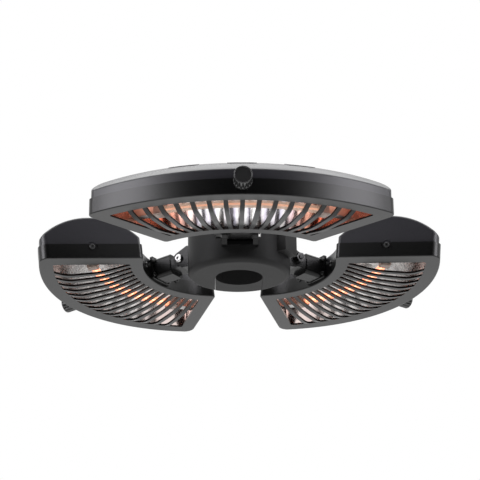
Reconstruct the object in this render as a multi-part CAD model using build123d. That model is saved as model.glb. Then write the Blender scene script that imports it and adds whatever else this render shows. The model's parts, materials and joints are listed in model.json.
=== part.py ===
from build123d import *
import math
import os

# Umbrella patio heater: a hub that clamps round an umbrella pole, with three
# arc-shaped radiant heads on friction hinges. Millimetres, +Z up.
# The origin is where the pole axis, Z, crosses the underside of the hub.
# A head is drawn along +X with its underside level. It is then tilted about
# its hinge pin and turned to its own direction round the pole.

# Heads: direction round the pole and downward tilt at rest, in degrees
head_direction = {"front": 270.0, "right": 30.0, "left": 150.0}
head_tilt = {"front": 0.0, "right": 6.3, "left": 7.6}

# Hub
bore_r = 27.0
hub_r = 59.0
hub_height = 64.0
hub_wall = 3.0
hub_edge_r = 6.5
hub_boss_r = 4.5
hub_boss_inset = 10.0
hub_boss_angles = (-120.0, -60.0, 0.0, 180.0)
top_cover_t = 5.0
top_cover_edge_r = 3.0
top_lip_depth = 4.0
top_lip_t = 1.5
lip_clear = 0.3

# Gate that closes the slot where the pole comes in, on the +Y side
slot_half = bore_r + 0.5
gate_side_gap = 0.3
gate_proud = 0.6
gate_flange_margin = 5.5
gate_flange_t = 3.0
gate_flange_inset = 5.0
gate_screw_offset = 6.0

# Clamp screw, knob and pressure pad, on an axis along Y
clamp_z = 36.0
clamp_travel = 16.0
screw_r = 5.0
screw_fit = 0.05
screw_boss_r = 9.0
insert_r = 7.0
insert_t = 10.0
tip_r = 3.5
tip_depth = 4.0
pad_half = 11.0
pad_height = 30.0
pad_depth = 7.0
pad_clear = 0.5
hand_knob_r = 19.0
hand_knob_t = 15.0
hand_knob_neck_r = 10.0
hand_knob_neck_t = 5.0
hand_knob_standoff = 2.0
hand_knob_lobes = 6
lobe_cut_r = 6.0
lobe_cut_place = 22.3
hand_knob_edge_r = 1.5

# Service box on the hub wall, between the front and the right head
box_direction = 330.0
box_proud = 9.0
box_half = 14.0
box_floor_z = 18.0
box_top_z = 52.0
box_wall = 2.0
box_cover_t = 1.6

# Cable gland on the top cover
gland_direction = 210.0
gland_r = 9.0
gland_bore_r = 4.0
gland_height = 15.0
gland_collar_t = 3.0
gland_thread_r = 6.0
gland_dome_r = 8.3
gland_dome_edge_r = 3.1
gland_nut_flat = 16.0

# Hinge: pin along the tangent, one yoke on the hub for each head
pin_offset = 9.5
pin_z = 29.0
bolt_r = 3.0
bolt_fit = 0.05
ear_inner = 14.5
ear_t = 6.0
ear_boss_r = 8.0
yoke_floor_z = 17.5
yoke_top_z = 43.0
yoke_web_t = 4.0
yoke_web_length = 5.0
yoke_back_t = 2.4
yoke_gap = 0.1
yoke_screw_v = 8.0
yoke_screw_z = 39.5
washer_r = 6.2
washer_t = 1.5
nut_flat = 10.0
nut_t = 5.2
nut_washer_t = 1.2
nut_washer_r = 6.2
bolt_head_r = 5.0
bolt_head_t = 3.0
socket_flat = 4.0
socket_floor = 1.05
bolt_head_edge_r = 1.8
bolt_end = 1.5

# Arm from the hinge to the head
knuckle_r = 6.3
tongue_half = 12.6
arm_offset = 16.5
arm_half = 14.0
arm_floor_z = 18.0
arm_top_z = 43.0
arm_wall = 2.5
arm_corner_r = 5.0
flange_t = 4.0
flange_half = 19.0
flange_floor_z = 17.0
flange_top_z = 45.0
flange_corner_r = 3.0
arm_screw_v = 16.4
arm_screw_z = (22.0, 40.0)
arm_screw_head_r = 2.4
wire_hole_r = 4.0

# Head outline in plan: two arcs and two ends at 45 degrees to the arm. Each end
# face stands a little proud of the line at that angle through the pole axis.
head_floor_z = 14.2
outer_reach = 225.0
outer_arc_r = 258.0
inner_reach = 110.0
inner_arc_r = 127.0
end_angle = 45.0
end_proud = 1.5
outer_corner_r = 10.0
inner_corner_r = 5.0

# Bezel: lower band, frame and grille pressed as one
bezel_height = 17.8
bezel_wall = 1.8
bezel_plate_t = 1.8
bezel_edge_r = 1.2
window_outer_margin = 16.0
window_inner_margin = 12.0
window_end_margin = 18.0
window_corner_r = 2.5
slot_count = 16
last_slat_inside_deg = 2.2
slat_w = 4.9
slat_t = 2.4
slat_drop = 5.6
slat_root = 0.3
belly_profile = ((0.0, 0.0), (0.08, 0.5), (0.17, 0.9), (0.3, 1.02), (0.48, 1.04), (0.64, 0.92), (0.78, 0.58),
                 (0.9, 0.24), (1.0, 0.0))

# Cover: top shell that nests inside the bezel band
cover_clear = 0.1
cover_wall = 1.5
cover_skirt = 9.0
head_height = 52.3
arch_drop = 23.4
shoulder_r = 2.6
vent_angles = (-15.3, 0.0, 15.3)
vent_offset = 30.25
vent_length = 31.0
vent_width = 15.0
vent_rise = 0.5
vent_slots = 4
vent_slot_w = 1.5
vent_edge = 3.0

# Reflector and lamp
reflector_outer_gap = 8.35
reflector_rise = 32.0
reflector_t = 0.8
reflector_screw_gap = 2.1
lamp_end_room = 37.0
lamp_height = 12.6
lamp_r = 4.25
lamp_glass_t = 1.0
filament_r = 1.2
cap_side = 13.0
cap_length = 10.5
cap_edge = 1.5
clip_side = 9.0
clip_reach = 36.0
wire_r = 1.3
wire_gap = 0.875
wire_angles = (3.0, 26.0)

# Grip knob on the outer wall
grip_z = 28.8
grip_base_r = 10.2
grip_base_t = 3.0
grip_r = 9.4
grip_cap_r = 8.8
grip_length = 19.0
grip_flutes = 16
flute_r = 1.3
grip_stud_r = 2.5
grip_stud_length = 6.0
grip_cap_t = 1.0

# Screws that hold the casings
case_screw_r = 1.7
case_screw_head_r = 3.2
case_screw_head_t = 1.6
case_screw_length = 8.0
case_screw_height = 14.6
case_screw_hole_depth = 12.0
drive_flat = 2.5
drive_floor = 0.64
end_screw_shift = 1.5
inner_screw_offset = 15.0
case_recess_r = 6.3
case_recess_depth = 0.9
cover_recess_depth = 0.5
inner_seat_r = 3.8
inner_seat_depth = 0.2
hole_clear = 0.1

# Terminal block and wires inside the hub
terminal_size = (22.0, 12.0, 14.0)
terminal_hole_r = 2.0
hub_wire_r = 1.6
hub_wire_bore_gap = 5.0
hub_wire_boss_gap = 3.0
hub_wire_gap_deg = 18.5

# Sizes that follow from those above
hub_top_z = hub_height + top_cover_t
hub_boss_place_r = hub_r - hub_boss_inset
hub_middle_r = (bore_r + hub_r) / 2
gate_r = hub_r + gate_proud
gate_flange_y = (bore_r + gate_flange_inset, hub_r - gate_flange_inset)
gate_screw_x = slot_half + gate_screw_offset
gate_screw_y = (gate_flange_y[0] + gate_flange_y[1]) / 2
gate_flange_half = gate_screw_x + gate_flange_margin
slot_wall = slot_half + hub_wall
box_face = hub_r + box_proud
front_wire_lane = bore_r + hub_wall + hub_wire_bore_gap
side_wire_lane = hub_boss_place_r - hub_boss_r - hub_wire_boss_gap
ear_outer = ear_inner + ear_t
pin_place_r = hub_r + pin_offset
yoke_web_end = hub_r + yoke_web_length
arm_start = pin_place_r + arm_offset
ear_chin_angle = math.atan2(pin_z - yoke_floor_z, pin_place_r - yoke_web_end)
outer_arc_x = outer_reach - outer_arc_r
inner_arc_x = inner_reach - inner_arc_r
cover_inset = bezel_wall + cover_clear
skirt_inset = cover_inset + cover_wall
mid_reach = (outer_reach + inner_reach) / 2
arch_x = (outer_arc_x + inner_arc_x) / 2
arch_half = mid_reach - inner_reach - cover_inset
arch_r = (arch_half ** 2 + arch_drop ** 2) / (2 * arch_drop)
vent_reach = mid_reach + vent_offset
case_screw_v = flange_half + inner_screw_offset
window_outer_r = outer_arc_r - window_outer_margin
window_inner_r = inner_reach + window_inner_margin - outer_arc_x
bezel_top_z = head_floor_z + bezel_height
case_screw_z = head_floor_z + case_screw_height
knob_start_y = gate_r + hub_wall + clamp_travel + hand_knob_standoff


def angle_inside_end(arc_r, margin):
    """Angle, seen from the outer arc's centre, at which an arc comes within a margin of the end face."""
    a = math.radians(end_angle)
    across = margin - end_proud - outer_arc_x * math.sin(a)
    return end_angle - math.degrees(math.asin(across / arc_r))


def end_reach(arc_x, arc_r):
    """How far along an end face, from the pole axis, an arc meets it."""
    a = math.radians(end_angle)
    return arc_x * math.cos(a) + math.sqrt(arc_r ** 2 - (arc_x * math.sin(a) + end_proud) ** 2)


def from_outer_centre(arc_r, angle):
    """Distance from the outer arc's centre to a point on an arc about the inner arc's centre."""
    a = math.radians(angle)
    return math.hypot(inner_arc_x + arc_r * math.cos(a) - outer_arc_x, arc_r * math.sin(a))


def window_corner_deg():
    """Angle of the window's inner corner, seen from the inner arc's centre."""
    a = math.radians(angle_inside_end(window_inner_r, window_end_margin))
    x = outer_arc_x + window_inner_r * math.cos(a) - inner_arc_x
    return math.degrees(math.atan2(window_inner_r * math.sin(a), x))


slot_pitch_deg = 2 * (window_corner_deg() - last_slat_inside_deg) / (slot_count - 2)
end_screw_reach = (end_reach(outer_arc_x, outer_arc_r) + end_reach(inner_arc_x, inner_arc_r)) / 2 - end_screw_shift
head_wire_r = inner_arc_r + skirt_inset + wire_gap + wire_r
wire_side_r = head_wire_r + wire_r + wire_gap
reflector_inner_r = max(from_outer_centre(wire_side_r, 0), from_outer_centre(wire_side_r, wire_angles[1]))
reflector_outer_r = outer_arc_r - skirt_inset - reflector_outer_gap
reflector_mid_r = (reflector_outer_r + reflector_inner_r) / 2
reflector_half = (reflector_outer_r - reflector_inner_r) / 2
reflector_end_margin = case_screw_length + case_recess_depth + reflector_screw_gap
lamp_half_angle = angle_inside_end(reflector_mid_r, reflector_end_margin + lamp_end_room)


def upright(shape, low, high):
    """Raise a flat outline into a solid between two heights."""
    return Pos(0, 0, low) * extrude(shape, high - low)


def block(x, y, z):
    """Box given by its lower and upper limits on each axis."""
    size = (x[1] - x[0], y[1] - y[0], z[1] - z[0])
    middle = ((x[0] + x[1]) / 2, (y[0] + y[1]) / 2, (z[0] + z[1]) / 2)
    return Pos(*middle) * Box(*size)


def rod(radius, start, end, x=0.0, z=0.0):
    """Cylinder along Y from start to end."""
    centre = Pos(x, (start + end) / 2, z)
    return centre * Rot(90, 0, 0) * Cylinder(radius, end - start)


def reach_rod(radius, start, end, y=0.0, z=0.0):
    """Cylinder along X from start to end."""
    centre = Pos((start + end) / 2, y, z)
    return centre * Rot(0, 90, 0) * Cylinder(radius, end - start)


def prism(flats, length):
    """Hexagonal prism along Z, measured across its flats."""
    return extrude(RegularPolygon(flats / 2, 6, major_radius=False), length)


def turned(shape, name):
    """Turn a piece drawn along +X to a head's direction."""
    return Rot(0, 0, head_direction[name]) * shape


def on_head(shape, name):
    """Tilt a piece of a head about its pin, then turn it to its place."""
    there = Pos(pin_place_r, 0, pin_z)
    back = Pos(-pin_place_r, 0, -pin_z)
    return turned(there * Rot(0, head_tilt[name], 0) * back * shape, name)


# Hub

def hub_blank(radius, edge, height):
    """Round body with a rounded lower edge."""
    body = Pos(0, 0, height / 2) * Cylinder(radius, height)
    return fillet(body.edges().sort_by(Axis.Z)[0], edge)


def slot_space(half):
    """Space of the slot that runs from the bore out through the +Y side."""
    return block((-half, half), (0, hub_r * 2), (-1, hub_top_z * 2))


def bore_space():
    return Cylinder(bore_r, hub_top_z * 4)


def box_space(face, half, low, high):
    """Box that runs out from the pole axis in the service box's direction."""
    body = block((hub_r * 0.7, face), (-half, half), (low, high))
    return Rot(0, 0, box_direction) * body


def boss_places():
    """Places of the top cover's screws."""
    places = []
    for angle in hub_boss_angles:
        a = math.radians(angle)
        places.append((hub_boss_place_r * math.cos(a), hub_boss_place_r * math.sin(a)))
    return places


def gate_screw_places():
    return [(-gate_screw_x, gate_screw_y), (gate_screw_x, gate_screw_y)]


def screw_hole(x, y, z):
    """Upright hole for a case screw, reaching equally above and below z."""
    return Pos(x, y, z) * Cylinder(case_screw_r + hole_clear, 2 * case_screw_hole_depth)


def hub_housing():
    shell = hub_blank(hub_r, hub_edge_r, hub_height)
    rim = box_space(box_face - box_cover_t, box_half, box_floor_z, box_top_z)
    shell = shell + rim
    hollow = hub_blank(hub_r - hub_wall, hub_edge_r - hub_wall, hub_height)
    hollow = Pos(0, 0, hub_wall) * hollow - Cylinder(bore_r + hub_wall, hub_height * 4)
    hollow = hollow - slot_space(slot_wall)
    for x, y in boss_places() + gate_screw_places():
        hollow = hollow - Pos(x, y, 0) * Cylinder(hub_boss_r, hub_height * 4)
    inner = box_half - box_wall
    hollow = hollow + box_space(box_face, inner, box_floor_z + box_wall, box_top_z - box_wall)
    shell = shell - hollow - bore_space() - slot_space(slot_half)
    for x, y in boss_places() + gate_screw_places():
        hole = screw_hole(x, y, hub_height)
        shell = shell - hole
    for name in head_direction:
        for hole in yoke_screw_holes():
            shell = shell - turned(hole, name)
    return shell


def hub_top_cover():
    plate = Pos(0, 0, hub_height + top_cover_t / 2) * Cylinder(hub_r, top_cover_t)
    plate = fillet(plate.edges().sort_by(Axis.Z)[-1], top_cover_edge_r)
    lip_r = hub_r - hub_wall - lip_clear
    lip_z = hub_height - top_lip_depth / 2
    ring = Cylinder(lip_r, top_lip_depth) - Cylinder(lip_r - top_lip_t, top_lip_depth)
    ring = Pos(0, 0, lip_z) * ring - slot_space(slot_wall + lip_clear)
    ring = ring - box_space(box_face, box_half, box_floor_z, hub_height)
    for x, y in gate_screw_places():
        ring = ring - Pos(x, y, lip_z) * Cylinder(hub_boss_r + lip_clear, hub_height)
    cover = plate - bore_space() - slot_space(slot_half) + ring
    for x, y in boss_places() + gate_screw_places():
        cover = cover - screw_hole(x, y, hub_top_z)
    a = math.radians(gland_direction)
    gx, gy = hub_middle_r * math.cos(a), hub_middle_r * math.sin(a)
    return cover - Pos(gx, gy, hub_top_z) * Cylinder(gland_thread_r + hole_clear, hub_height)


def cover_screws():
    """Screws that hold the top cover to the housing."""
    return [standing_screw(x, y, hub_top_z) for x, y in boss_places()]


def standing_screw(x, y, seat_z):
    """Pan-head screw with its head on a level face."""
    head = Pos(0, 0, case_screw_head_t / 2) * Cylinder(case_screw_head_r, case_screw_head_t)
    head = fillet(head.edges().sort_by(Axis.Z)[-1], case_screw_head_t / 2)
    head = head - Pos(0, 0, drive_floor) * prism(drive_flat, case_screw_head_t)
    shank = Pos(0, 0, -case_screw_length / 2) * Cylinder(case_screw_r, case_screw_length)
    return Pos(x, y, seat_z) * (head + shank)


# Gate and clamp

def pole_gate():
    half = slot_half - gate_side_gap
    body = hub_blank(gate_r, hub_edge_r, hub_top_z)
    body = body & block((-half, half), (0, gate_r * 2), (-1, hub_top_z + 1))
    hollow = hub_blank(gate_r - hub_wall, hub_edge_r - hub_wall, hub_top_z)
    inside = half - hub_wall
    hollow = Pos(0, 0, hub_wall) * hollow & slot_space(inside)
    hollow = hollow - Cylinder(bore_r + hub_wall, hub_top_z * 4)
    pocket_back = bore_r + pad_depth + pad_clear + hub_wall
    guide = pad_half + pad_clear + hub_wall
    lift = pad_height / 2 + pad_clear + hub_wall
    pocket = block((-guide, guide), (0, pocket_back), (clamp_z - lift, clamp_z + lift))
    hollow = hollow - pocket - rod(screw_boss_r, 0, gate_r * 2, 0, clamp_z)
    body = body - hollow - bore_space()
    flange = block((-gate_flange_half, gate_flange_half), gate_flange_y,
                   (hub_top_z, hub_top_z + gate_flange_t))
    flange = fillet(flange.edges().filter_by(Axis.Z), hub_wall)
    lid = upright(Rectangle(2 * half, gate_r * 2) & Circle(gate_r), hub_top_z - hub_wall, hub_top_z)
    lid = (lid & slot_space(half)) - bore_space()
    neck = rod(screw_boss_r, gate_r - hub_wall, gate_r + hub_wall, 0, clamp_z)
    body = body + flange + lid + neck
    body = body - pad_space() - rod(screw_r + screw_fit, bore_r, gate_r * 2, 0, clamp_z)
    body = body - rod(insert_r, insert_back_y(), gate_r * 2, 0, clamp_z)
    for x, y in gate_screw_places():
        body = body - screw_hole(x, y, hub_top_z)
    return body


def insert_back_y():
    return gate_r + hub_wall - insert_t


def pad_space():
    """Pocket in the gate that the pad draws back into."""
    half = pad_half + pad_clear
    lift = pad_height / 2 + pad_clear
    deep = bore_r + pad_depth + pad_clear
    return block((-half, half), (0, deep), (clamp_z - lift, clamp_z + lift))


def gate_screws():
    return [standing_screw(x, y, hub_top_z + gate_flange_t) for x, y in gate_screw_places()]


def clamp_insert():
    """Threaded brass insert in the gate's outer wall."""
    ring = rod(insert_r, insert_back_y(), gate_r + hub_wall, 0, clamp_z)
    return ring - rod(screw_r + screw_fit, 0, gate_r * 2, 0, clamp_z)


def pressure_pad():
    lift = pad_height / 2
    body = block((-pad_half, pad_half), (0, bore_r + pad_depth), (clamp_z - lift, clamp_z + lift))
    body = body - bore_space()
    return body - rod(tip_r + screw_fit, bore_r + pad_depth - tip_depth, gate_r, 0, clamp_z)


def clamp_screw():
    back = bore_r + pad_depth
    tip = rod(tip_r, back - tip_depth, back + pad_clear, 0, clamp_z)
    shank = rod(screw_r, back + pad_clear, knob_start_y + hand_knob_neck_t, 0, clamp_z)
    return tip + shank


def hand_knob():
    disc_start = knob_start_y + hand_knob_neck_t
    disc_end = disc_start + hand_knob_t
    disc = rod(hand_knob_r, disc_start, disc_end, 0, clamp_z)
    for i in range(hand_knob_lobes):
        a = 2 * math.pi * i / hand_knob_lobes
        x, z = lobe_cut_place * math.cos(a), lobe_cut_place * math.sin(a)
        disc = disc - rod(lobe_cut_r, disc_start - 1, disc_end + 1, x, clamp_z + z)
    ends = disc.edges().group_by(Axis.Y)
    disc = fillet(ends[-1], hand_knob_edge_r)
    neck = rod(hand_knob_neck_r, knob_start_y, disc_start, 0, clamp_z)
    return disc + neck - rod(screw_r, 0, disc_start, 0, clamp_z)


# Fittings on the hub

def service_cover():
    face = box_space(box_face, box_half, box_floor_z, box_top_z)
    cut = box_space(box_face - box_cover_t, box_half + 1, 0, hub_top_z)
    return face - cut - Cylinder(hub_r, hub_top_z * 4)


def cable_gland():
    """Inlet for the supply cord, with a collar and a domed cap nut."""
    collar = prism(gland_r * 2, gland_collar_t)
    dome_h = gland_height - gland_collar_t
    dome = Pos(0, 0, gland_collar_t + dome_h / 2) * Cylinder(gland_dome_r, dome_h)
    dome = fillet(dome.edges().sort_by(Axis.Z)[-1], gland_dome_edge_r)
    thread = Pos(0, 0, -top_cover_t / 2) * Cylinder(gland_thread_r, top_cover_t)
    nut = Pos(0, 0, -top_cover_t - gland_collar_t) * prism(gland_nut_flat, gland_collar_t)
    body = collar + dome + thread + nut - Cylinder(gland_bore_r, gland_height * 4)
    a = math.radians(gland_direction)
    return Pos(hub_middle_r * math.cos(a), hub_middle_r * math.sin(a), hub_top_z) * body


def terminal_block():
    across, deep, tall = terminal_size
    body = block((hub_middle_r - deep / 2, hub_middle_r + deep / 2),
                 (-across / 2, across / 2), (hub_wall, hub_wall + tall))
    for i in (-1, 0, 1):
        y = i * across / 3
        body = body - Pos(hub_middle_r, y, hub_wall + tall) * Cylinder(terminal_hole_r, tall)
    return Rot(0, 0, box_direction) * body


def arc_tube(radius, arc_r, start, end, z, centre_x=0.0):
    """Round bar bent to an arc about a vertical axis, from start to end degrees."""
    section = Plane.XZ * Pos(arc_r, z) * Circle(radius)
    bar = revolve(section, Axis.Z, end - start)
    return Pos(centre_x, 0, 0) * Rot(0, 0, start) * bar


def hub_wires():
    """One supply wire from the terminal block to each yoke."""
    z = hub_wall + hub_wire_r
    first = box_direction - hub_wire_gap_deg
    last = box_direction + hub_wire_gap_deg
    wires = [arc_tube(hub_wire_r, front_wire_lane, head_direction["front"], first, z)]
    wires.append(arc_tube(hub_wire_r, side_wire_lane, last, head_direction["right"] + 360, z))
    wires.append(arc_tube(hub_wire_r, side_wire_lane, head_direction["left"], first, z))
    return wires


# Hinges

def ear_outline():
    """Side view of a yoke ear in the X-Z plane, drawn with Z as its height."""
    slope = math.degrees(math.atan2(yoke_top_z - pin_z, pin_place_r - hub_r))
    top = (pin_place_r + ear_boss_r * math.cos(math.radians(slope)),
           pin_z + ear_boss_r * math.sin(math.radians(slope)))
    heel = (yoke_web_end, yoke_floor_z)
    chin = (pin_place_r + ear_boss_r * math.cos(ear_chin_angle), pin_z - ear_boss_r * math.sin(ear_chin_angle))
    inside = hub_r - ear_outer
    points = [(inside, yoke_floor_z), heel, chin, top, (hub_r, yoke_top_z), (inside, yoke_top_z)]
    outline = Polygon(*points, align=None)
    return outline + Pos(pin_place_r, pin_z) * Circle(ear_boss_r)


def yoke():
    ears = Plane.XZ * extrude(ear_outline(), ear_outer, both=True)
    gap = block((0, hub_r * 2), (-ear_inner, ear_inner), (0, hub_top_z))
    keep = Cylinder(hub_r + yoke_gap + yoke_back_t, hub_top_z * 4)
    web = block((0, yoke_web_end), (-ear_inner, ear_inner), (yoke_floor_z, yoke_floor_z + yoke_web_t))
    plate = block((0, hub_r * 2), (-ear_outer, ear_outer), (yoke_floor_z, yoke_top_z)) & keep
    body = ears - gap + plate + web
    body = body - Cylinder(hub_r + yoke_gap, hub_top_z * 4)
    body = body - rod(bolt_r + bolt_fit, -ear_outer * 2, ear_outer * 2, pin_place_r, pin_z)
    return body - yoke_screw_holes()


def yoke_screw_holes():
    start = hub_r - case_screw_hole_depth
    end = hub_r + case_screw_hole_depth
    holes = []
    for v in (-yoke_screw_v, yoke_screw_v):
        holes.append(reach_rod(case_screw_r + hole_clear, start, end, v, yoke_screw_z))
    return holes


def yoke_screw(v):
    """Pan-head screw through the yoke's back plate into the hub wall."""
    seat = hub_r + yoke_gap + yoke_back_t
    head = reach_rod(case_screw_head_r, seat, seat + case_screw_head_t, v, yoke_screw_z)
    shank = reach_rod(case_screw_r, seat - case_screw_length, seat, v, yoke_screw_z)
    return head + shank


def hinge_bolt():
    """Button-head bolt with a hex socket."""
    head = Pos(0, 0, bolt_head_t / 2) * Cylinder(bolt_head_r, bolt_head_t)
    head = fillet(head.edges().sort_by(Axis.Z)[-1], bolt_head_edge_r)
    head = head - Pos(0, 0, socket_floor) * prism(socket_flat, bolt_head_t)
    length = 2 * ear_outer + nut_washer_t + nut_t + bolt_end
    shank = Pos(0, 0, -length / 2) * Cylinder(bolt_r, length)
    return Pos(pin_place_r, ear_outer, pin_z) * Rot(-90, 0, 0) * (head + shank)


def hinge_nut():
    nut = prism(nut_flat, nut_t) - Cylinder(bolt_r + bolt_fit, nut_t * 4)
    return Pos(pin_place_r, -ear_outer - nut_washer_t, pin_z) * Rot(90, 0, 0) * nut


def ring_washer(radius, thick, start):
    body = rod(radius, start, start + thick, pin_place_r, pin_z)
    return body - rod(bolt_r + bolt_fit, start - 1, start + thick + 1, pin_place_r, pin_z)


def nut_washer():
    return ring_washer(nut_washer_r, nut_washer_t, -ear_outer - nut_washer_t)


def friction_washers():
    """One washer between each ear and the knuckle, which holds the head at its tilt."""
    return [ring_washer(washer_r, washer_t, -ear_inner), ring_washer(washer_r, washer_t, ear_inner - washer_t)]


# Arm

def inner_wall_space(extra):
    """Everything on the pole's side of the head's inner wall."""
    return Pos(inner_arc_x, 0, 0) * Cylinder(inner_arc_r - extra, hub_top_z * 4)


def head_arm():
    knuckle = rod(knuckle_r, -tongue_half, tongue_half, pin_place_r, pin_z)
    tongue = block((pin_place_r, arm_start + arm_wall), (-tongue_half, tongue_half),
                   (pin_z - knuckle_r, pin_z + knuckle_r))
    box = block((arm_start, inner_reach), (-arm_half, arm_half), (arm_floor_z, arm_top_z))
    box = fillet(box.edges().filter_by(Axis.X), arm_corner_r)
    inside = arm_half - arm_wall
    hollow = block((arm_start + arm_wall, inner_reach * 2), (-inside, inside),
                   (arm_floor_z + arm_wall, arm_top_z - arm_wall))
    hollow = fillet(hollow.edges().filter_by(Axis.X), arm_corner_r - arm_wall)
    flange = block((inner_reach - flange_t, inner_reach + flange_t), (-flange_half, flange_half),
                   (flange_floor_z, flange_top_z))
    flange = fillet(flange.edges().filter_by(Axis.X), flange_corner_r)
    body = (knuckle + tongue + box + flange - hollow) & inner_wall_space(yoke_gap)
    body = body - rod(bolt_r + bolt_fit, -ear_outer, ear_outer, pin_place_r, pin_z)
    body = body - reach_rod(wire_hole_r, arm_start - 1, arm_start + 2 * arm_wall, 0, pin_z)
    for v, z in arm_screw_places():
        body = body - reach_rod(case_screw_r + hole_clear, arm_start, inner_reach * 2, v, z)
    return body


def arm_screw_places():
    return [(side * arm_screw_v, z) for side in (-1, 1) for z in arm_screw_z]


def arm_screws():
    """Screws through the arm's flange into the head's inner wall."""
    screws = []
    seat = inner_reach - flange_t
    for v, z in arm_screw_places():
        head = reach_rod(arm_screw_head_r, seat - case_screw_head_t, seat, v, z)
        shank = reach_rod(case_screw_r, seat, seat + case_screw_length, v, z)
        screws.append(head + shank)
    return screws


# Head casing

def wedge(inset):
    """Plan wedge between the two end faces, drawn in by inset."""
    a = math.radians(end_angle)
    tip = (inset - end_proud) / math.sin(a)
    far = outer_arc_r * 2
    return Polygon((tip, 0), (tip + far * math.cos(a), -far * math.sin(a)),
                   (tip + far * math.cos(a), far * math.sin(a)), align=None)


def sharp_plan(inset):
    """Outline of a head in plan, drawn in by inset on every side."""
    outline = Pos(outer_arc_x, 0) * Circle(outer_arc_r - inset)
    outline = outline - Pos(inner_arc_x, 0) * Circle(inner_arc_r + inset)
    return outline & wedge(inset)


def head_plan(inset):
    """Outline with its corners rounded, drawn in by inset on every side."""
    outline = sharp_plan(inset)
    outline = fillet(outline.vertices().sort_by(Axis.X)[-2:], outer_corner_r - inset)
    return fillet(outline.vertices().sort_by(Axis.X)[:2], inner_corner_r - inset)


def window_plan(grow, corner):
    """Outline of the grille window, grown by grow on every side."""
    outline = Pos(outer_arc_x, 0) * Circle(window_outer_r + grow)
    outline = outline - Pos(outer_arc_x, 0) * Circle(window_inner_r - grow)
    outline = outline & wedge(window_end_margin - grow)
    return fillet(outline.vertices(), corner)


def grille_sheet():
    """Curved sheet that the slats are cut from: it bellies below the frame."""
    width = window_outer_r - window_inner_r
    lower = [(window_outer_r - width * s, head_floor_z - slat_drop * d) for s, d in belly_profile]
    upper = [(r, z + slat_t) for r, z in lower]
    low_line = Spline(*lower)
    high_line = Spline(*upper)
    outer_end = Line(lower[0], upper[0])
    inner_end = Line(lower[-1], upper[-1])
    section = make_face(Curve() + [low_line, high_line, outer_end, inner_end])
    span = 2 * end_angle
    sheet = revolve(Plane.XZ * section, Axis.Z, span)
    return Pos(outer_arc_x, 0, 0) * Rot(0, 0, -span / 2) * sheet


def slats():
    """Bars of the grille, one between each pair of slots, fanned from the inner arc's centre."""
    sheet = grille_sheet()
    bars = []
    for i in range(slot_count - 1):
        angle = (i - (slot_count - 2) / 2) * slot_pitch_deg
        bar = block((inner_reach, outer_arc_r), (-slat_w / 2, slat_w / 2),
                    (0, bezel_top_z))
        bar = Pos(inner_arc_x, 0, 0) * Rot(0, 0, angle) * bar
        bars.append(sheet & bar)
    keep = upright(window_plan(slat_root, window_corner_r), 0, bezel_top_z)
    return [bar & keep for bar in bars]


def head_bezel():
    body = upright(head_plan(0), head_floor_z, bezel_top_z)
    lower_rim = body.faces().sort_by(Axis.Z)[0].edges()
    body = fillet(lower_rim, bezel_edge_r)
    inside = head_plan(bezel_wall)
    body = body - upright(inside, head_floor_z + bezel_plate_t, bezel_top_z + 1)
    body = body - upright(window_plan(0, window_corner_r), 0, bezel_top_z)
    for bar in slats():
        body = body + bar
    body = body - case_recesses(case_recess_depth) - inner_seats()
    return body - wall_holes()


def end_frame(side):
    """Frame at the middle of an end face, with Z pointing out of the head."""
    a = math.radians(end_angle)
    x = end_screw_reach * math.cos(a) - end_proud * math.sin(a)
    y = end_screw_reach * math.sin(a) + end_proud * math.cos(a)
    out = (-math.sin(a), side * math.cos(a), 0)
    return Plane(origin=(x, side * y, case_screw_z), x_dir=(0, 0, 1), z_dir=out)


def inner_frame(side):
    """Frame on the inner wall beside the arm, with Z pointing at the pole."""
    v = side * case_screw_v
    across = math.sqrt(inner_arc_r ** 2 - v ** 2)
    out = (-across / inner_arc_r, -v / inner_arc_r, 0)
    return Plane(origin=(inner_arc_x + across, v, case_screw_z), x_dir=(0, 0, 1), z_dir=out)


def case_frames():
    return [end_frame(-1), end_frame(1), inner_frame(-1), inner_frame(1)]


def recess(radius, depth):
    """Round cut that goes to a depth under the face it starts from."""
    return Pos(0, 0, 1 - depth / 2) * Cylinder(radius, 2 + depth)


def case_recesses(depth):
    """Recesses that the end screws sit in, cut inwards from the end faces."""
    return [end_frame(side) * recess(case_recess_r, depth) for side in (-1, 1)]


def inner_seats():
    """Shallow flats on the curved inner wall, under the heads of its screws."""
    return [inner_frame(side) * recess(inner_seat_r, inner_seat_depth) for side in (-1, 1)]


def wall_holes():
    """Holes through the band and the skirt for the case screws, arm and grip."""
    cuts = []
    start = inner_reach - case_screw_hole_depth
    end = inner_reach + case_screw_hole_depth
    for frame in case_frames():
        cuts.append(frame * Cylinder(case_screw_r + hole_clear, 2 * case_screw_hole_depth))
    for v, z in arm_screw_places():
        cuts.append(reach_rod(case_screw_r + hole_clear, start, end, v, z))
    cuts.append(reach_rod(wire_hole_r, start, end, 0, pin_z))
    depth = grip_stud_length + bezel_wall
    cuts.append(reach_rod(grip_stud_r + hole_clear, outer_reach - depth, outer_reach + depth, 0, grip_z))
    return cuts


def case_screws():
    screws = []
    for index, frame in enumerate(case_frames()):
        sunk = case_recess_depth if index < 2 else inner_seat_depth
        screws.append(frame * standing_screw(0, 0, -sunk))
    return screws


def arch_ring(shrink, crest_z):
    """Ring whose round top gives the cover its arched crest."""
    return Pos(arch_x, 0, crest_z - arch_r) * Torus(mid_reach - arch_x, arch_r - shrink)


def cover_blank(shrink, low):
    """Arched solid inside the bezel band, drawn in by shrink."""
    crest = head_floor_z + head_height
    body = upright(head_plan(cover_inset + shrink), low, crest + 10) & arch_ring(shrink, crest)
    top = [f for f in body.faces() if f.geom_type == GeomType.TORUS]
    rims = [e for f in top for e in f.edges()]
    return fillet(rims, shoulder_r - shrink)


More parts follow.
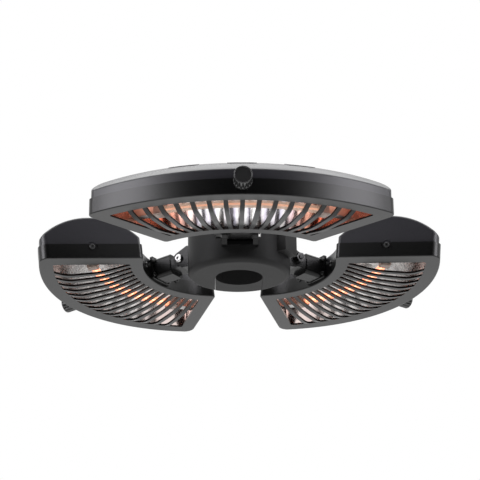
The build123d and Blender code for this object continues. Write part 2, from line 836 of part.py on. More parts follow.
def head_cover():
    skirt_z = bezel_top_z - cover_skirt
    body = cover_blank(0, skirt_z)
    body = body + vent_pads()
    body = body - cover_blank(cover_wall, skirt_z - 1)
    body = body - vent_cuts() - case_recesses(cover_inset + cover_recess_depth)
    return body - wall_holes()


def vent_frame(angle):
    place = Pos(outer_arc_x, 0, 0) * Rot(0, 0, angle)
    return place * Pos(vent_reach - outer_arc_x, 0, 0)


def vent_pads():
    """Raised louvre panels on the crest."""
    crest = head_floor_z + head_height
    ring = arch_ring(-vent_rise, crest)
    ring = ring - arch_ring(cover_wall / 2, crest)
    pads = []
    for angle in vent_angles:
        outline = fillet(Rectangle(vent_width, vent_length).vertices(), vent_edge)
        pad = upright(outline, bezel_top_z, crest + 10)
        pads.append(vent_frame(angle) * pad & ring)
    return pads


def vent_cuts():
    cuts = []
    step = vent_width / (vent_slots + 1)
    for angle in vent_angles:
        for i in range(vent_slots):
            x = (i + 1) * step - vent_width / 2
            cut = block((x - vent_slot_w / 2, x + vent_slot_w / 2),
                        (-vent_length / 2 + vent_edge, vent_length / 2 - vent_edge),
                        (bezel_top_z, head_floor_z + head_height * 2))
            cuts.append(vent_frame(angle) * cut)
    return cuts


# Reflector and lamp

def reflector_blank(shrink, low):
    plan = Pos(outer_arc_x, 0) * Circle(reflector_outer_r - shrink)
    plan = plan - Pos(outer_arc_x, 0) * Circle(reflector_inner_r + shrink)
    plan = plan & wedge(reflector_end_margin + shrink)
    round_r = (reflector_half ** 2 + reflector_rise ** 2) / (2 * reflector_rise)
    top = head_floor_z + bezel_plate_t + reflector_rise
    ring = Pos(outer_arc_x, 0, top - round_r) * Torus(reflector_mid_r, round_r - shrink)
    return upright(plan, low, top + 10) & ring


def head_reflector():
    seat = head_floor_z + bezel_plate_t
    return reflector_blank(0, seat) - reflector_blank(reflector_t, seat - 1)


def lamp_bar(radius, half_angle):
    z = head_floor_z + lamp_height
    return arc_tube(radius, reflector_mid_r, -half_angle, half_angle, z, outer_arc_x)


def lamp_tube():
    inner = lamp_bar(lamp_r - lamp_glass_t, lamp_half_angle + 1)
    return lamp_bar(lamp_r, lamp_half_angle) - inner


def lamp_end(side):
    """Frame at an end of the lamp, with X along the lamp and away from it."""
    a = math.radians(lamp_half_angle)
    place = (outer_arc_x + reflector_mid_r * math.cos(a), side * reflector_mid_r * math.sin(a),
             head_floor_z + lamp_height)
    along = (-math.sin(a), side * math.cos(a), 0)
    return Plane(origin=place, x_dir=along, z_dir=(0, 0, 1))


def lamp_caps():
    """Ceramic caps at the ends of the lamp."""
    caps = []
    for side in (-1, 1):
        cap = Pos(cap_length / 2, 0, 0) * Box(cap_length, cap_side, cap_side)
        cap = chamfer(cap.edges().filter_by(Axis.X), cap_edge)
        caps.append(lamp_end(side) * cap)
    return caps


def lamp_clips():
    """Brackets that carry the caps on the reflector's end walls."""
    inside = wedge(reflector_end_margin + reflector_t)
    room = upright(inside, 0, bezel_top_z * 2)
    clips = []
    for side in (-1, 1):
        strip = Pos(cap_length + clip_reach / 2, 0, 0) * Box(clip_reach, clip_side, clip_side)
        clips.append(lamp_end(side) * strip & room)
    return clips


def head_wires():
    """Wires between the lamp's ends and the arm, behind the inner wall."""
    z = head_floor_z + bezel_plate_t + wire_r
    first, last = wire_angles
    wires = []
    for start, end in ((first, last), (-last, -first)):
        wires.append(arc_tube(wire_r, head_wire_r, start, end, z, inner_arc_x))
    return wires


def grip_knob():
    """Fluted grip with a flat cap, moulded round its stud."""
    seat = outer_reach
    base = reach_rod(grip_base_r, seat, seat + grip_base_t, 0, grip_z)
    body = reach_rod(grip_r, seat + grip_base_t, seat + grip_length - grip_cap_t, 0, grip_z)
    for i in range(grip_flutes):
        a = 2 * math.pi * i / grip_flutes
        y, z = grip_r * math.cos(a), grip_r * math.sin(a)
        body = body - reach_rod(flute_r, seat + grip_base_t + grip_cap_t, seat + grip_length, y, grip_z + z)
    cap = reach_rod(grip_cap_r, seat + grip_length - grip_cap_t, seat + grip_length, 0, grip_z)
    stud = reach_rod(grip_stud_r, seat - grip_stud_length, seat + grip_base_t, 0, grip_z)
    return base + body + cap + stud


def group(shapes):
    """Several separate solids kept together in one node."""
    solids = []
    for shape in shapes:
        solids.extend(shape.solids())
    return Compound(solids)


def all_parts():
    parts = {}
    parts["hub_housing"] = hub_housing()
    parts["hub_top_cover"] = hub_top_cover()
    parts["cover_screws"] = group(cover_screws())
    parts["pole_gate"] = pole_gate()
    parts["gate_screws"] = group(gate_screws())
    parts["clamp_insert"] = clamp_insert()
    parts["pressure_pad"] = pressure_pad()
    parts["clamp_screw"] = clamp_screw()
    parts["hand_knob"] = hand_knob()
    parts["service_cover"] = service_cover()
    parts["cable_gland"] = cable_gland()
    parts["terminal_block"] = terminal_block()
    parts["hub_wires"] = group(hub_wires())
    names = list(head_direction)
    for name in names:
        parts[f"{name}_yoke"] = turned(yoke(), name)
    bolts = [turned(hinge_bolt(), name) for name in names]
    nuts = [turned(hinge_nut(), name) for name in names]
    washers = [turned(nut_washer(), name) for name in names]
    friction = [turned(w, name) for name in names for w in friction_washers()]
    screws = [turned(yoke_screw(v), name) for name in names for v in (-yoke_screw_v, yoke_screw_v)]
    parts["hinge_bolts"] = group(bolts)
    parts["hinge_nuts"] = group(nuts)
    parts["hinge_washers"] = group(washers)
    parts["friction_washers"] = group(friction)
    parts["yoke_screws"] = group(screws)
    head = {
        "arm": head_arm(), "arm_screws": group(arm_screws()),
        "bezel": head_bezel(), "cover": head_cover(), "case_screws": group(case_screws()),
        "reflector": head_reflector(), "lamp": lamp_tube(),
        "filament": lamp_bar(filament_r, lamp_half_angle),
        "lamp_caps": group(lamp_caps()), "lamp_clips": group(lamp_clips()),
        "wires": group(head_wires()), "grip": grip_knob(),
    }
    for name in names:
        for piece, shape in head.items():
            parts[f"{name}_{piece}"] = on_head(shape, name)
    return parts


os.makedirs("parts", exist_ok=True)
for node, shape in all_parts().items():
    export_step(shape, f"parts/{node}.step")
    print(node, len(shape.solids()), round(shape.volume))
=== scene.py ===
import json
import math
import bpy
from mathutils import Matrix, Vector


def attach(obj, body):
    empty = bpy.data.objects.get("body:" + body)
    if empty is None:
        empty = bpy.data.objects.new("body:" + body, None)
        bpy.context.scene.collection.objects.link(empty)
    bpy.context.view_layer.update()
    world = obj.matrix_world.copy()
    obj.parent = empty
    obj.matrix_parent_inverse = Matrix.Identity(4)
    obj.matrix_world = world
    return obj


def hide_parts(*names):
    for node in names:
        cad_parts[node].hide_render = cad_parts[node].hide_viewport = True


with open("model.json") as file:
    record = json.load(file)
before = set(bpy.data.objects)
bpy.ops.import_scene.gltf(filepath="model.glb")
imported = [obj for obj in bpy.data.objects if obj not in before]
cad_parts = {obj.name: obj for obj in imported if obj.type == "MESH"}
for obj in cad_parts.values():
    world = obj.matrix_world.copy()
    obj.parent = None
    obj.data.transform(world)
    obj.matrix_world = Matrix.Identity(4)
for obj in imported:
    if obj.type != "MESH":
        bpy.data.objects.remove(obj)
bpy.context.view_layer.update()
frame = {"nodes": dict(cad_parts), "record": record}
print("solids loaded:", len(frame["nodes"]))

headNames = ("front", "right", "left")
headPose = {  # direction round the pole and tilt of each head, degrees; pin place in metres
    "direction": {"front": 270.0, "right": 30.0, "left": 150.0},
    "tilt": {"front": 0.0, "right": 6.3, "left": 7.6},
    "pin": (0.0685, 0.0, 0.029),
}


def headMatrix(name):  # from a level head drawn along +X to the head in its place
    pin = Vector(headPose["pin"])
    turn = Matrix.Rotation(math.radians(headPose["direction"][name]), 4, "Z")
    tilt = Matrix.Rotation(math.radians(headPose["tilt"][name]), 4, "Y")
    return turn @ Matrix.Translation(pin) @ tilt @ Matrix.Translation(-pin)


# Shader maths

class Wire:  # a socket that can be added, multiplied and so on
    def __init__(self, paint, socket):
        self.paint = paint
        self.socket = socket

    def __add__(self, other):
        return self.paint.sum("ADD", self, other)

    def __radd__(self, other):
        return self.paint.sum("ADD", other, self)

    def __sub__(self, other):
        return self.paint.sum("SUBTRACT", self, other)

    def __mul__(self, other):
        return self.paint.sum("MULTIPLY", self, other)


class Paint:  # one node tree, of a material or of the world
    def __init__(self, owner):
        owner.use_nodes = True
        self.owner = owner
        self.tree = owner.node_tree
        self.tree.nodes.clear()

    def node(self, kind, settings=None, sockets=None, output=0):
        made = self.tree.nodes.new(kind)
        for key, value in (settings or {}).items():
            if key == "stops":
                self.setStops(made.color_ramp, value)
            else:
                setattr(made, key, value)
        for key, value in (sockets or {}).items():
            if isinstance(value, Wire):
                self.tree.links.new(value.socket, made.inputs[key])
            else:
                made.inputs[key].default_value = value
        return Wire(self, made.outputs[output]) if len(made.outputs) else made

    def setStops(self, ramp, stops):
        while len(ramp.elements) < len(stops):
            ramp.elements.new(1.0)
        for element, (place, tone) in zip(ramp.elements, stops):
            element.position = place
            element.color = (tone, tone, tone, 1.0) if isinstance(tone, float) else (*tone, 1.0)

    def sum(self, operation, a, b):
        return self.node("ShaderNodeMath", {"operation": operation}, {0: a, 1: b})

    def place(self):
        return self.node("ShaderNodeTexCoord", output="Object")

    def noise(self, scale, detail=3.0, rough=0.5, vector=None):
        return self.node("ShaderNodeTexNoise", None, {
            "Vector": vector or self.place(), "Scale": scale, "Detail": detail, "Roughness": rough})

    def ramp(self, value, stops):
        return self.node("ShaderNodeValToRGB", {"stops": stops}, {"Fac": value})

    def between(self, share, a, b):  # mix of two colours
        return self.node("ShaderNodeMix", {"data_type": "RGBA"}, {0: share, 6: a, 7: b}, output=2)

    def bump(self, height, depth, strength=1.0):
        return self.node("ShaderNodeBump", None, {
            "Height": height, "Distance": depth, "Strength": strength})

    def surface(self, sockets):
        shader = self.node("ShaderNodeBsdfPrincipled", None, sockets)
        self.node("ShaderNodeOutputMaterial", None, {"Surface": shader})
        return self.owner


def newPaint(name):
    return Paint(bpy.data.materials.new(name))


def grey(tone, warm=0.0):
    return (tone * (1 + warm), tone, tone * (1 - warm), 1.0)


# Finishes

coatSkin = {"speckGrain": 1.7, "speckFrom": 0.62, "speckTo": 0.74, "grainRough": 0.06}  # shared by all coats


def coatedMetal(name, look):  # powder-coated or sprayed metal and moulded plastic with a fine skin
    p = newPaint(name)
    skin = p.noise(look["grain"], 2.0, 0.55)
    drift = p.noise(look["drift"], 3.0, 0.5)
    tone = p.between(drift, look["dark"], look["light"])
    speck = p.noise(look["grain"] * coatSkin["speckGrain"], 1.0)
    speck = p.ramp(speck, [(coatSkin["speckFrom"], 0.0), (coatSkin["speckTo"], 1.0)])
    tone = p.between(speck * look["speck"], tone, look["speckTone"])
    rough = look["rough"] + (drift - 0.5) * look["roughDrift"] + (skin - 0.5) * coatSkin["grainRough"]
    return p.surface({
        "Base Color": tone, "Roughness": rough, "Specular IOR Level": look["specular"],
        "Normal": p.bump(skin, look["depth"])})


coverLook = {
    "grain": 1500.0, "drift": 14.0,
    "dark": (0.0165, 0.016, 0.0195, 1.0), "light": (0.021, 0.0205, 0.0245, 1.0),
    "speck": 0.2, "speckTone": grey(0.05), "rough": 0.35, "roughDrift": 0.08,
    "specular": 0.46, "depth": 0.00004,
}
bezelLook = {
    "grain": 1500.0, "drift": 14.0, "dark": grey(0.0012), "light": grey(0.0026),
    "speck": 0.15, "speckTone": grey(0.01), "rough": 0.3, "roughDrift": 0.08,
    "specular": 0.39, "depth": 0.00004,
}
hubLook = {
    "grain": 2100.0, "drift": 22.0, "dark": grey(0.014), "light": grey(0.02),
    "speck": 0.15, "speckTone": grey(0.04), "rough": 0.5, "roughDrift": 0.1,
    "specular": 0.12, "depth": 0.00005,
}
armLook = {
    "grain": 700.0, "drift": 30.0, "dark": grey(0.006), "light": grey(0.01),
    "speck": 0.0, "speckTone": grey(0.02), "rough": 0.19, "roughDrift": 0.1,
    "specular": 0.16, "depth": 0.00009,
}
knobLook = {
    "grain": 1800.0, "drift": 60.0, "dark": grey(0.016), "light": grey(0.023),
    "speck": 0.0, "speckTone": grey(0.02), "rough": 0.24, "roughDrift": 0.08,
    "specular": 0.6, "depth": 0.00003,
}
screwLook = {
    "grain": 2500.0, "drift": 120.0, "dark": grey(0.012), "light": grey(0.03),
    "speck": 0.3, "speckTone": grey(0.1), "rough": 0.32, "roughDrift": 0.2,
    "specular": 0.5, "depth": 0.00003,
}
rubberLook = {
    "grain": 900.0, "drift": 80.0, "dark": grey(0.014), "light": grey(0.022),
    "speck": 0.2, "speckTone": grey(0.05), "rough": 0.75, "roughDrift": 0.1,
    "specular": 0.3, "depth": 0.00008,
}
terminalLook = {
    "grain": 1600.0, "drift": 60.0, "dark": grey(0.6, 0.03), "light": grey(0.68, 0.03),
    "speck": 0.1, "speckTone": grey(0.4), "rough": 0.4, "roughDrift": 0.1,
    "specular": 0.5, "depth": 0.00003,
}
wireLook = {
    "grain": 1600.0, "drift": 90.0, "dark": (0.32, 0.05, 0.03, 1.0), "light": (0.42, 0.08, 0.05, 1.0),
    "speck": 0.1, "speckTone": grey(0.2), "rough": 0.5, "roughDrift": 0.1,
    "specular": 0.4, "depth": 0.00003,
}


stainRough = 0.08  # how far stains change the roughness of bare metal


def bareMetal(name, look):  # turned or rolled metal with fine scratches
    p = newPaint(name)
    stretched = p.node("ShaderNodeMapping", None, {"Vector": p.place(), "Scale": look["stretch"]})
    scratch = p.noise(look["grain"], 4.0, 0.6, stretched)
    stain = p.noise(look["drift"], 3.0)
    tone = p.between(stain, look["dark"], look["light"])
    if "thread" in look:  # each bolt's threaded end lies on the same side of its head's direction
        x, y = (p.node("ShaderNodeSeparateXYZ", None, {0: p.place()}, output=axis) for axis in (0, 1))
        side = p.node("ShaderNodeMath", {"operation": "COSINE"}, {0: p.sum("ARCTAN2", y, x) * 3.0})
        dark = p.ramp(side, [(look["threadFrom"], 0.0), (look["threadTo"], 1.0)])
        tone = p.between(dark, tone, look["thread"])
    rough = look["rough"] + (scratch - 0.5) * look["roughDrift"] + (stain - 0.5) * stainRough
    return p.surface({
        "Base Color": tone, "Metallic": 1.0, "Roughness": rough,
        "Normal": p.bump(scratch, look["depth"])})


steelLook = {
    "grain": 900.0, "stretch": (1.0, 1.0, 6.0), "drift": 150.0, "dark": grey(0.3, 0.01),
    "light": grey(0.5, 0.01), "rough": 0.26, "roughDrift": 0.14, "depth": 0.00002,
}
boltLook = {**steelLook, "thread": grey(0.03), "threadFrom": 0.1, "threadTo": 0.5}  # dark threaded end
dullNutLook = {
    "grain": 900.0, "stretch": (1.0, 1.0, 6.0), "drift": 150.0, "dark": grey(0.04), "light": grey(0.09),
    "rough": 0.34, "roughDrift": 0.14, "depth": 0.00002,
}
clipLook = {
    "grain": 700.0, "stretch": (1.0, 5.0, 1.0), "drift": 90.0, "dark": grey(0.42, 0.03),
    "light": grey(0.56, 0.03), "rough": 0.34, "roughDrift": 0.18, "depth": 0.00003,
}
brassLook = {
    "grain": 900.0, "stretch": (1.0, 8.0, 1.0), "drift": 120.0, "dark": (0.55, 0.36, 0.12, 1.0),
    "light": (0.74, 0.52, 0.22, 1.0), "rough": 0.26, "roughDrift": 0.14, "depth": 0.00002,
}


def polishedReflector(name, look):  # bright rolled sheet, with a painted warm reflection of the lamp's glow towards the lamp's ends and painted violet reflection streaks
    p = newPaint(name)
    level = p.node("ShaderNodeMapping", {"vector_type": "TEXTURE"}, {
        "Vector": p.place(), "Rotation": (0, 0, math.radians(look["direction"]))})
    along = p.node("ShaderNodeSeparateXYZ", None, {0: level}, output=0)
    across = p.node("ShaderNodeSeparateXYZ", None, {0: level}, output=1)
    turn = p.sum("ARCTAN2", across, along + look["arcCentre"])  # angle round the arc's centre, radians
    flow = p.node("ShaderNodeCombineXYZ", None, {
        0: turn * look["streakTurn"], 1: along * look["streakAlong"]})
    streak = p.noise(look["streak"], 3.0, 0.55, flow)
    stain = p.noise(look["drift"], 4.0, 0.6)
    roll = p.noise(look["grain"], 2.0)
    tone = p.between(p.ramp(stain, look["stainStops"]), look["dark"], look["light"])
    # painted violet reflection streaks along the arc, mixed into the sheet's colour
    tone = p.between(p.ramp(streak, look["paintedStreakReflectionStops"]) * look["paintedStreakReflection"], tone, look["paintedReflectionViolet"])
    # painted warm reflection of the lamp's glow, growing towards the ends of the arc
    fromMiddle = p.sum("ABSOLUTE", turn, 0.0) + (stain - 0.5) * look["paintedLampReflectionRagged"]
    ends = p.ramp(fromMiddle, [(look["paintedLampReflectionFrom"], 0.0), (look["paintedLampReflectionTo"], 1.0)])
    tone = p.between(ends * look["paintedLampReflection"], tone, look["paintedLampReflectionTone"])
    rough = look["rough"] + (stain - 0.5) * look["roughDrift"]
    return p.surface({
        "Base Color": tone, "Metallic": 1.0, "Roughness": rough,
        "Normal": p.bump(roll + streak * look["streakDepth"], look["depth"])})


reflectorLook = {  # the same on all heads; angles in radians, lengths in metres
    "arcCentre": 0.033, "grain": 55.0, "drift": 38.0, "stainStops": [(0.3, 0.0), (0.7, 1.0)],
    "streak": 9.0, "streakTurn": 2.2, "streakAlong": 0.6, "streakDepth": 0.6,
    "paintedReflectionViolet": (0.3, 0.28, 0.38, 1.0), "paintedStreakReflectionStops": [(0.42, 0.0), (0.62, 1.0)],
    "paintedLampReflectionFrom": 0.3, "paintedLampReflectionTo": 0.46, "paintedLampReflectionRagged": 0.16, "paintedLampReflectionTone": (1.0, 0.36, 0.2, 1.0),
    "rough": 0.2, "roughDrift": 0.1, "depth": 0.0005,
}
frontReflectorLook = {  # how far the ends are painted red as a painted reflection of the lamp's glow, and how strong the painted violet reflection streaks are; the front copy is painted darker than the side copies, as painted shade
    "dark": (0.5, 0.46, 0.45, 1.0), "light": (0.8, 0.79, 0.78, 1.0), "paintedLampReflection": 0.75, "paintedStreakReflection": 0.7,
}
sideReflectorLook = {
    "dark": (0.74, 0.7, 0.67, 1.0), "light": (0.93, 0.91, 0.89, 1.0), "paintedLampReflection": 0.18, "paintedStreakReflection": 0.2,
}


def ceramicGlaze(name, look):
    p = newPaint(name)
    pit = p.noise(look["grain"], 2.0)
    heat = p.noise(look["drift"], 3.0)
    return p.surface({
        "Base Color": p.between(heat, look["dark"], look["light"]),
        "Roughness": look["rough"] + pit * look["pitRough"],
        "Coat Weight": look["glaze"], "Normal": p.bump(pit, look["depth"])})


ceramicLook = {
    "grain": 1400.0, "drift": 90.0, "dark": (0.36, 0.28, 0.24, 1.0), "light": (0.5, 0.4, 0.35, 1.0),
    "rough": 0.42, "pitRough": 0.1, "glaze": 0.3, "depth": 0.00004,
}


glassSkin = {"rough": 0.06, "roughDrift": 0.05}


def lampGlow(name, look):  # thin glass full of light: glowing, and clear enough to show the coil
    p = newPaint(name)
    flicker = p.noise(look["drift"], 2.0)
    glow = p.between(flicker, look["dim"], look["hot"])
    return p.surface({
        "Base Color": p.between(flicker, look["dark"], look["light"]),
        "Roughness": glassSkin["rough"] + flicker * glassSkin["roughDrift"],
        "Alpha": look["alpha"], "Emission Color": glow, "Emission Strength": look["strength"]})


lampLook = {
    "drift": 35.0, "dim": (1.0, 0.25, 0.11, 1.0), "hot": (1.0, 0.4, 0.22, 1.0),
    "dark": (0.5, 0.2, 0.1, 1.0), "light": (0.8, 0.45, 0.28, 1.0), "alpha": 0.4, "strength": 1.8,
}
coilLook = {
    "drift": 120.0, "dim": (1.0, 0.5, 0.3, 1.0), "hot": (1.0, 0.72, 0.52, 1.0),
    "dark": (0.3, 0.2, 0.16, 1.0), "light": (0.5, 0.4, 0.34, 1.0), "alpha": 1.0, "strength": 3.2,
}

calmLampLook = {  # the front lamp shows the bright reflector through its glass, which is also painted pale grey-beige as a painted reflection of that reflector, with little glow of its own
    "drift": 35.0, "dim": (1.0, 0.62, 0.42, 1.0), "hot": (1.0, 0.76, 0.58, 1.0),
    "dark": (0.3, 0.27, 0.24, 1.0), "light": (0.5, 0.46, 0.41, 1.0), "alpha": 0.55, "strength": 0.22,
}
calmCoilLook = {
    "drift": 120.0, "dim": (1.0, 0.3, 0.14, 1.0), "hot": (1.0, 0.42, 0.22, 1.0),
    "dark": (0.3, 0.2, 0.16, 1.0), "light": (0.5, 0.4, 0.34, 1.0), "alpha": 1.0, "strength": 2.2,
}


def headReflectorLook(name):
    own = frontReflectorLook if name == "front" else sideReflectorLook
    return {**reflectorLook, **own, "direction": headPose["direction"][name]}


finishes = {
    "hub_plastic": coatedMetal("satinHubPlastic", hubLook),
    "charcoal_paint": coatedMetal("charcoalCover", coverLook),
    "black_paint": coatedMetal("semiGlossBlack", armLook),
    "dark_screw": coatedMetal("blackenedScrew", screwLook),
    "bright_steel": bareMetal("brightZincSteel", steelLook),
    "brass_insert": bareMetal("turnedBrass", brassLook),
    "pad_rubber": coatedMetal("padRubber", rubberLook),
    "knob_plastic": coatedMetal("knobPlastic", knobLook),
    "gland_plastic": coatedMetal("glandPlastic", rubberLook),
    "terminal_plastic": coatedMetal("terminalPlastic", terminalLook),
    "wire_cover": coatedMetal("wireCover", wireLook),
    "bright_reflector": polishedReflector("frontReflector", headReflectorLook("front")),
    "lamp_glass": lampGlow("lampGlass", lampLook),
    "glowing_filament": lampGlow("hotCoil", coilLook),
    "lamp_ceramic": ceramicGlaze("lampCeramic", ceramicLook),
    "clip_steel": bareMetal("clipSteel", clipLook),
}

# Pieces whose finish differs from that of their slot: the band and grille are a shade blacker than the cover
bezelFinish = coatedMetal("blackBezelBand", bezelLook)
ownFinishes = {name + "_bezel": bezelFinish for name in headNames}
for name in ("right", "left"):
    ownFinishes[name + "_reflector"] = polishedReflector(name + "Reflector", headReflectorLook(name))
ownFinishes["hinge_nuts"] = ownFinishes["hinge_washers"] = bareMetal("dullNut", dullNutLook)
ownFinishes["hinge_bolts"] = bareMetal("boltSteel", boltLook)
ownFinishes["front_lamp"] = lampGlow("calmLampGlass", calmLampLook)
ownFinishes["front_filament"] = lampGlow("calmCoil", calmCoilLook)

for entry in frame["record"]["subparts"]:  # every solid takes the finish of its slot
    mesh = frame["nodes"][entry["node"]].data
    mesh.materials.clear()
    mesh.materials.append(ownFinishes.get(entry["node"], finishes[entry["material_slot"]]))
print("finishes made:", len(finishes))


# Shapes made here

def startPiece():  # nothing selected, object mode, so that an operator acts on the new piece alone
    if bpy.context.object and bpy.context.object.mode != "OBJECT":
        bpy.ops.object.mode_set(mode="OBJECT")
    bpy.ops.object.select_all(action="DESELECT")


def pick(mesh, wanted, faces=True):  # select the faces or the vertices that a test wants, then edit them
    bpy.ops.object.mode_set(mode="EDIT")
    bpy.ops.mesh.select_mode(type="FACE" if faces else "VERT")
    bpy.ops.mesh.select_all(action="DESELECT")
    bpy.ops.object.mode_set(mode="OBJECT")
    for item in (mesh.polygons if faces else mesh.vertices):
        item.select = wanted(item)
    bpy.ops.object.mode_set(mode="EDIT")


def seatOnHead(master, name, pieceName, node, slotName):  # own copy for a head, tilted and turned with it
    piece = bpy.data.objects.new(pieceName, master.data.copy())
    bpy.context.scene.collection.objects.link(piece)
    piece.data.transform(headMatrix(name))
    piece.data.materials.clear()
    piece.data.materials.append(ownFinishes.get(node, finishes[slotName]))
    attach(piece, name + "_head")
    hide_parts(node)
    return piece


coilShape = {  # metres and degrees: the hot coil runs along the lamp's arc
    "arcRadius": 0.1985, "arcCentre": -0.033, "height": 0.0268, "halfAngle": 24.2,
    "core": 0.00066, "wire": 0.00055, "steps": 8, "sides": 8, "touch": 0.00001, "weld": 0.00002,
}


def coilMaster():
    s = coilShape
    startPiece()
    bpy.ops.mesh.primitive_circle_add(vertices=s["sides"], radius=s["wire"], location=(s["core"], 0, 0),
                                      rotation=(math.radians(90), 0, 0))
    coil = bpy.context.object
    bpy.ops.object.transform_apply(location=True, rotation=True, scale=True)
    inside = min(v.co.x for v in coil.data.vertices)
    pick(coil.data, lambda v: v.co.x < inside + s["touch"], faces=False)  # open the ring by one pitch
    bpy.ops.mesh.delete(type="VERT")
    bpy.ops.mesh.select_all(action="SELECT")
    pitch = 2 * s["wire"] * math.sin(2 * math.pi / s["sides"])
    length = 2 * math.radians(s["halfAngle"]) * s["arcRadius"]
    bpy.ops.mesh.screw(steps=s["steps"], turns=round(length / pitch), center=(0, 0, 0), axis=(0, 0, 1))
    bpy.ops.mesh.select_all(action="SELECT")
    bpy.ops.mesh.remove_doubles(threshold=s["weld"])
    bpy.ops.mesh.normals_make_consistent(inside=False)
    bpy.ops.object.mode_set(mode="OBJECT")
    heights = [v.co.z for v in coil.data.vertices]
    middle = (max(heights) + min(heights)) / 2
    for v in coil.data.vertices:  # bend the straight coil to the lamp's arc
        angle = (v.co.z - middle) / s["arcRadius"]
        reach = s["arcRadius"] + v.co.x
        v.co = (s["arcCentre"] + reach * math.cos(angle), reach * math.sin(angle), s["height"] + v.co.y)
    bpy.ops.object.shade_smooth()
    return coil


gripShape = {  # metres, measured outwards from the head's outer wall
    "seat": 0.225, "height": 0.0288, "sides": 64, "baseRadius": 0.0101, "base": 0.003,
    "radius": 0.0098, "plain": 0.0011, "fluted": 0.0125, "crown": 0.0009, "crownScale": 0.965,
    "valley": 0.82, "rim": 0.0006, "rimInside": 0.0018, "dish": 0.0007, "dishScale": 0.97,
    "softEdge": 0.00018, "smoothAngle": 35, "verticesPerFlute": 4, "touch": 0.00001,
}


def gripMaster():
    s = gripShape
    startPiece()
    centre = (s["seat"], 0, s["height"])
    bpy.ops.mesh.primitive_cylinder_add(vertices=s["sides"], radius=s["baseRadius"], depth=s["base"],
                                        location=(s["seat"] + s["base"] / 2, 0, s["height"]),
                                        rotation=(0, math.radians(90), 0))
    grip = bpy.context.object
    bpy.ops.object.transform_apply(location=True, rotation=True, scale=True)

    def grow(step, size=1.0):
        bpy.ops.mesh.extrude_region_move(TRANSFORM_OT_translate={"value": (step, 0, 0)})
        bpy.ops.transform.resize(value=(1, size, size), center_override=centre)

    pick(grip.data, lambda f: f.normal.x > 0.9)
    bpy.ops.mesh.inset(thickness=s["baseRadius"] - s["radius"])
    grow(s["plain"])
    grow(s["fluted"])
    grow(s["crown"])
    grow(s["crown"], s["crownScale"])
    bpy.ops.mesh.inset(thickness=s["rim"])
    grow(-s["dish"], s["dishScale"])
    bpy.ops.mesh.inset(thickness=s["rimInside"])
    bpy.ops.object.mode_set(mode="OBJECT")
    low = s["seat"] + s["base"] + s["plain"]
    ends = (low, low + s["fluted"])
    fluteTurn = 2 * math.pi / s["sides"] * s["verticesPerFlute"]

    def inValley(v):  # every fourth vertex of the two rings that bound the flutes
        turn = math.atan2(v.co.y, v.co.z - s["height"]) / fluteTurn
        onRing = min(abs(v.co.x - e) for e in ends) < s["touch"]
        return onRing and abs(turn - round(turn)) < 0.1

    pick(grip.data, inValley, faces=False)
    bpy.ops.transform.resize(value=(1, s["valley"], s["valley"]), center_override=centre)
    bpy.ops.object.mode_set(mode="OBJECT")
    bpy.ops.object.modifier_add(type="BEVEL")
    edge = grip.modifiers[-1]
    edge.width = s["softEdge"]
    edge.segments = 2
    edge.limit_method = "ANGLE"
    bpy.ops.object.modifier_apply(modifier=edge.name)
    bpy.ops.object.shade_smooth_by_angle(angle=math.radians(s["smoothAngle"]))
    return grip


def addHeadPieces():
    for make, label, part, slotName in ((coilMaster, "hotCoil", "filament", "glowing_filament"),
                                        (gripMaster, "flutedGrip", "grip", "knob_plastic")):
        master = make()
        for name in headNames:
            seatOnHead(master, name, name + "_" + label, name + "_" + part, slotName)
        bpy.data.objects.remove(master, do_unlink=True)
        print("made for each head:", label)


addHeadPieces()


# Studio

worldLook = {"seen": 1.0, "ambient": 0.5}


def addWorld():
    world = bpy.data.worlds.new("whiteStudio")
    bpy.context.scene.world = world
    p = Paint(world)

    def ray(which):
        return p.node("ShaderNodeLightPath", output=which)

    straight = ray("Is Camera Ray") + ray("Is Glossy Ray") + ray("Is Transmission Ray")
    seen = p.node("ShaderNodeClamp", None, {"Value": straight})
    strength = worldLook["ambient"] + seen * (worldLook["seen"] - worldLook["ambient"])
    sky = p.node("ShaderNodeBackground", None, {"Color": (1.0, 1.0, 1.0, 1.0), "Strength": strength})
    p.node("ShaderNodeOutputWorld", None, {"Surface": sky})


floorLook = {"size": 90.0, "height": -2.1, "dark": grey(0.8), "light": grey(0.86),
             "grain": 3.0, "rough": 0.9, "mirrored": 1.0, "lift": 0.85}


def addFloor():
    bpy.ops.object.select_all(action="DESELECT")
    bpy.ops.mesh.primitive_plane_add(size=floorLook["size"], location=(0, 0, floorLook["height"]))
    floor = bpy.context.object
    floor.name = "studioFloor"
    p = newPaint("paleFloor")
    grain = p.noise(floorLook["grain"])
    board = p.node("ShaderNodeBsdfPrincipled", None, {
        "Base Color": p.between(grain, floorLook["dark"], floorLook["light"]),
        "Roughness": floorLook["rough"]})
    pale = p.node("ShaderNodeEmission", None, {"Color": grey(1.0), "Strength": floorLook["mirrored"]})
    seen = p.node("ShaderNodeLightPath", output="Is Glossy Ray")  # gloss shows a pale studio below
    seen = seen + p.node("ShaderNodeLightPath", output="Is Camera Ray") * floorLook["lift"]
    p.node("ShaderNodeOutputMaterial", None, {
        "Surface": p.node("ShaderNodeMixShader", None, {0: seen, 1: board, 2: pale})})
    floor.data.materials.append(p.owner)


lampAim = (0, 0, 0.03)  # all panels face the middle of the heads
lamps = {  # place and size in metres, power in watts
    "skyPanel": {"place": (0.0, 0.3, 1.6), "size": (2.2, 1.6), "power": 26.0},
    "leftPanel": {"place": (-1.34, -0.87, 0.55), "size": (0.8, 1.1), "power": 17.0,
                  "tint": (0.965, 0.95, 1.0)},
    "rightPanel": {"place": (1.34, -0.87, 0.55), "size": (0.8, 1.1), "power": 16.0,
                   "tint": (0.965, 0.95, 1.0)},
    "underPanel": {"place": (0.0, -0.5, -1.5), "size": (2.0, 1.6), "power": 14.0},
}


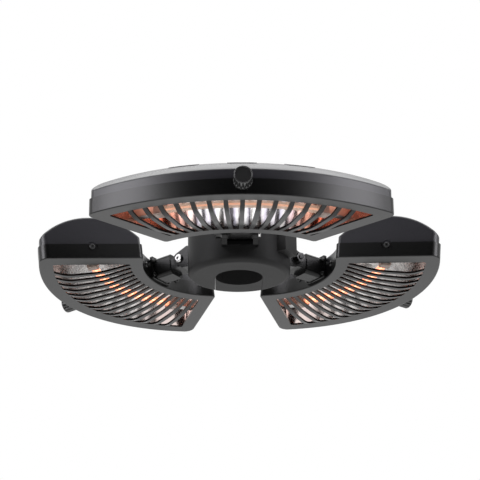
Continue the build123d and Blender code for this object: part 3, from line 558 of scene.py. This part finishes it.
flagLook = {  # black cloth in front, seen only in reflections; light passes it
    "place": (0.0, -1.15, 0.25), "size": (1.35, 2.1), "dark": grey(0.002), "light": grey(0.004),
    "weave": 200.0, "rough": 0.95,
}


def addFlag():
    bpy.ops.object.select_all(action="DESELECT")
    bpy.ops.mesh.primitive_plane_add(size=1.0, location=flagLook["place"], rotation=(math.radians(90), 0, 0))
    flag = bpy.context.object
    flag.name = "studioFlag"
    flag.scale = (*flagLook["size"], 1.0)
    p = newPaint("blackCloth")
    weave = p.noise(flagLook["weave"])
    flag.data.materials.append(p.surface({
        "Base Color": p.between(weave, flagLook["dark"], flagLook["light"]), "Roughness": flagLook["rough"],
        "Specular IOR Level": 0.0}))
    flag.visible_camera = False
    flag.visible_shadow = False


def addLamps():
    for name, lamp in lamps.items():
        light = bpy.data.lights.new(name, "AREA")
        light.shape = "RECTANGLE"
        light.size, light.size_y = lamp["size"]
        light.energy = lamp["power"]
        light.color = lamp.get("tint", (1.0, 1.0, 1.0))
        holder = bpy.data.objects.new(name, light)
        bpy.context.scene.collection.objects.link(holder)
        holder.location = lamp["place"]
        look = Vector(lampAim) - Vector(lamp["place"])
        holder.rotation_euler = look.to_track_quat("-Z", "Y").to_euler()
        holder.visible_camera = False


cameraLook = {  # distances in metres, angles in degrees, lens in pixels of a 480-pixel frame
    "distance": 1.83081, "below": 18.97, "turn": 1.24, "nod": 0.91, "roll": -0.57,
    "side": 0.0014, "lift": 0.01495, "lensPixels": 1585.53, "framePixels": 480.0,
    "farthest": 150.0,
}


def addCamera():
    c = cameraLook
    below, nod, roll = (math.radians(c[k]) for k in ("below", "nod", "roll"))
    place = Vector((c["side"], -c["distance"] * math.cos(below), -c["distance"] * math.sin(below)))
    ahead = Vector((0, math.cos(below), math.sin(below)))
    up = Vector((0, -math.sin(below), math.cos(below)))
    right = Vector((1, 0, 0))
    ahead, up = ahead * math.cos(nod) + up * math.sin(nod), up * math.cos(nod) - ahead * math.sin(nod)
    right, up = right * math.cos(roll) + up * math.sin(roll), up * math.cos(roll) - right * math.sin(roll)
    turn = Matrix.Rotation(math.radians(-c["turn"]), 3, "Z")
    axes = Matrix((turn @ right, turn @ up, turn @ -ahead)).transposed().to_4x4()
    place = turn @ place + Vector((0, 0, c["lift"]))
    camera = bpy.data.cameras.new("photoCamera")
    camera.sensor_width = 36.0
    camera.lens = c["lensPixels"] * camera.sensor_width / c["framePixels"]
    camera.clip_end = c["farthest"]
    holder = bpy.data.objects.new("photoCamera", camera)
    bpy.context.scene.collection.objects.link(holder)
    holder.matrix_world = Matrix.Translation(place) @ axes
    bpy.context.scene.camera = holder


addWorld()
addFloor()
addLamps()
addFlag()
addCamera()
bpy.context.scene.view_settings.view_transform = "Standard"
print("studio ready")
